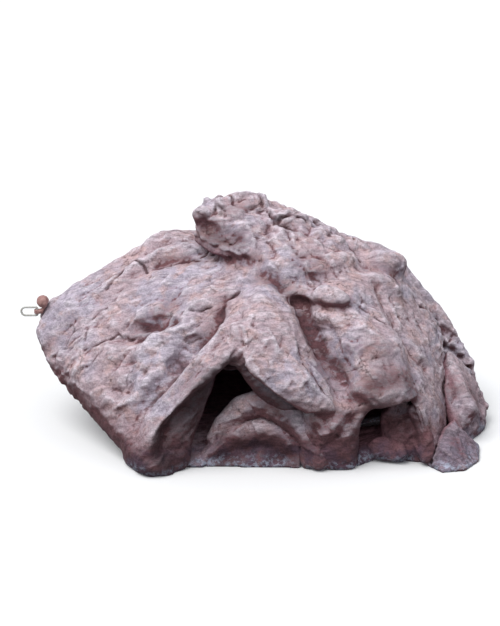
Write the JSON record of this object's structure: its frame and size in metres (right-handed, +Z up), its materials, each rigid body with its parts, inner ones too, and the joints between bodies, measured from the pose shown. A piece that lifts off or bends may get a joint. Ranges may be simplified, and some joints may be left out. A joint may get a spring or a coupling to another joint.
{
  "type": "resin cave ornament",
  "caption": "Hollow faux-rock cave with an overhanging left plate, a splayed cave mouth under a leaning ridge, a side hollow and a small swinging tether loop.",
  "frame": {"origin": "on the ground under the middle of the bounding box", "axes": "+X to the right of the rock seen from the cave mouth, +Y to the back, +Z up"},
  "size_m": [0.4922, 0.2908, 0.246],
  "materials": {
    "rock": "painted cast resin, rough",
    "crest": "painted cast resin, rough",
    "shaded_rock": "painted cast resin, rough",
    "grey_rock": "painted cast resin, rough",
    "lug": "painted cast resin, satin",
    "cord": "moulded nylon, translucent"
  },
  "bodies": {
    "rock": {"front_shell": "rock", "back_shell": "rock", "crest_cap": "crest", "cave_ledge": "shaded_rock", "side_stone": "shaded_rock", "flank_slab": "rock", "toe_stone": "grey_rock", "tether_lug": "lug"},
    "loop": {"tether_loop": "cord"}
  },
  "joints": [
    {"name": "loop_swing", "type": "hinge", "parent": "rock", "child": "loop", "pos_m": [-0.22795, -0.0004, 0.122], "axis": [0, 0, 1], "range_deg": [-70, 70]}
  ]
}
